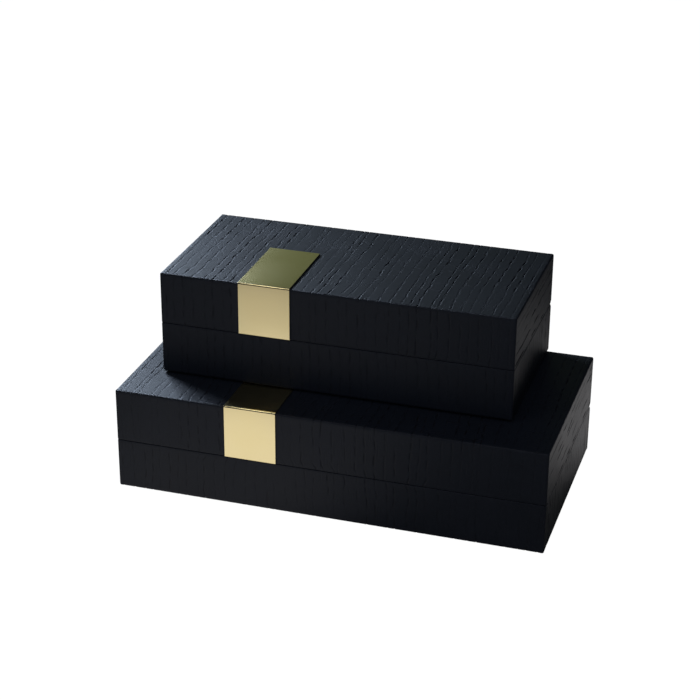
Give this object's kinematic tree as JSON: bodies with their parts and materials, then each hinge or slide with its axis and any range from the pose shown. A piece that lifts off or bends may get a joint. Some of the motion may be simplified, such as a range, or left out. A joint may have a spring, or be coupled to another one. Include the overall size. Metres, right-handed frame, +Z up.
{
  "type": "leather jewelry box set",
  "caption": "Pair of stacked leather-covered boxes, a small one on a large one, each with a hinged lid, a brass plate bent over the lid's front edge, and lined compartments.",
  "frame": {"origin": "centre of the whole set's outline, at the surface that the large box stands on", "axes": "+X along the fronts to the right, +Y to the hinged backs, +Z up"},
  "size_m": [0.35, 0.181, 0.174],
  "materials": {
    "leather": "semi-gloss black leather with a crocodile emboss",
    "brass_plate": "satin brushed",
    "hinge_brass": "polished",
    "pin_steel": "drawn wire",
    "board": "raw fibreboard",
    "suede": "soft suede cloth",
    "felt": "pressed felt"
  },
  "bodies": {
    "large_base": {"large_base_floor_panel": "board", "large_base_front_wall": "board", "large_base_back_wall": "board", "large_base_left_wall": "board", "large_base_right_wall": "board", "large_base_leather": "leather", "large_base_felt": "felt", "large_base_wall_lining": "suede", "large_base_floor_lining": "suede", "large_ring_rolls": "suede", "large_dividers": "suede", "large_hinge_base_leaves": "hinge_brass", "large_hinge_pins": "pin_steel", "large_base_hinge_screws": "hinge_brass"},
    "large_lid": {"large_lid_top_panel": "board", "large_lid_front_wall": "board", "large_lid_back_wall": "board", "large_lid_left_wall": "board", "large_lid_right_wall": "board", "large_lid_leather": "leather", "large_lid_wall_lining": "suede", "large_lid_cushion": "suede", "large_hinge_lid_leaves": "hinge_brass", "large_lid_hinge_screws": "hinge_brass", "large_clasp_plate": "brass_plate"},
    "small_base": {"small_base_floor_panel": "board", "small_base_front_wall": "board", "small_base_back_wall": "board", "small_base_left_wall": "board", "small_base_right_wall": "board", "small_base_leather": "leather", "small_base_felt": "felt", "small_base_wall_lining": "suede", "small_base_floor_lining": "suede", "small_ring_rolls": "suede", "small_dividers": "suede", "small_hinge_base_leaves": "hinge_brass", "small_hinge_pins": "pin_steel", "small_base_hinge_screws": "hinge_brass"},
    "small_lid": {"small_lid_top_panel": "board", "small_lid_front_wall": "board", "small_lid_back_wall": "board", "small_lid_left_wall": "board", "small_lid_right_wall": "board", "small_lid_leather": "leather", "small_lid_wall_lining": "suede", "small_lid_cushion": "suede", "small_hinge_lid_leaves": "hinge_brass", "small_lid_hinge_screws": "hinge_brass", "small_clasp_plate": "brass_plate"}
  },
  "joints": [
    {"name": "large_lid_hinge", "type": "hinge", "parent": "large_base", "child": "large_lid", "pos_m": [0, 0.087, 0.042], "axis": [-1, 0, 0], "range_deg": [0, 95]},
    {"name": "small_box_lift", "type": "slide", "parent": "large_lid", "child": "small_base", "axis": [0, 0, 1], "range_m": [0, 0.15]},
    {"name": "small_lid_hinge", "type": "hinge", "parent": "small_base", "child": "small_lid", "pos_m": [-0.007, 0.087, 0.13], "axis": [-1, 0, 0], "range_deg": [0, 95]}
  ]
}
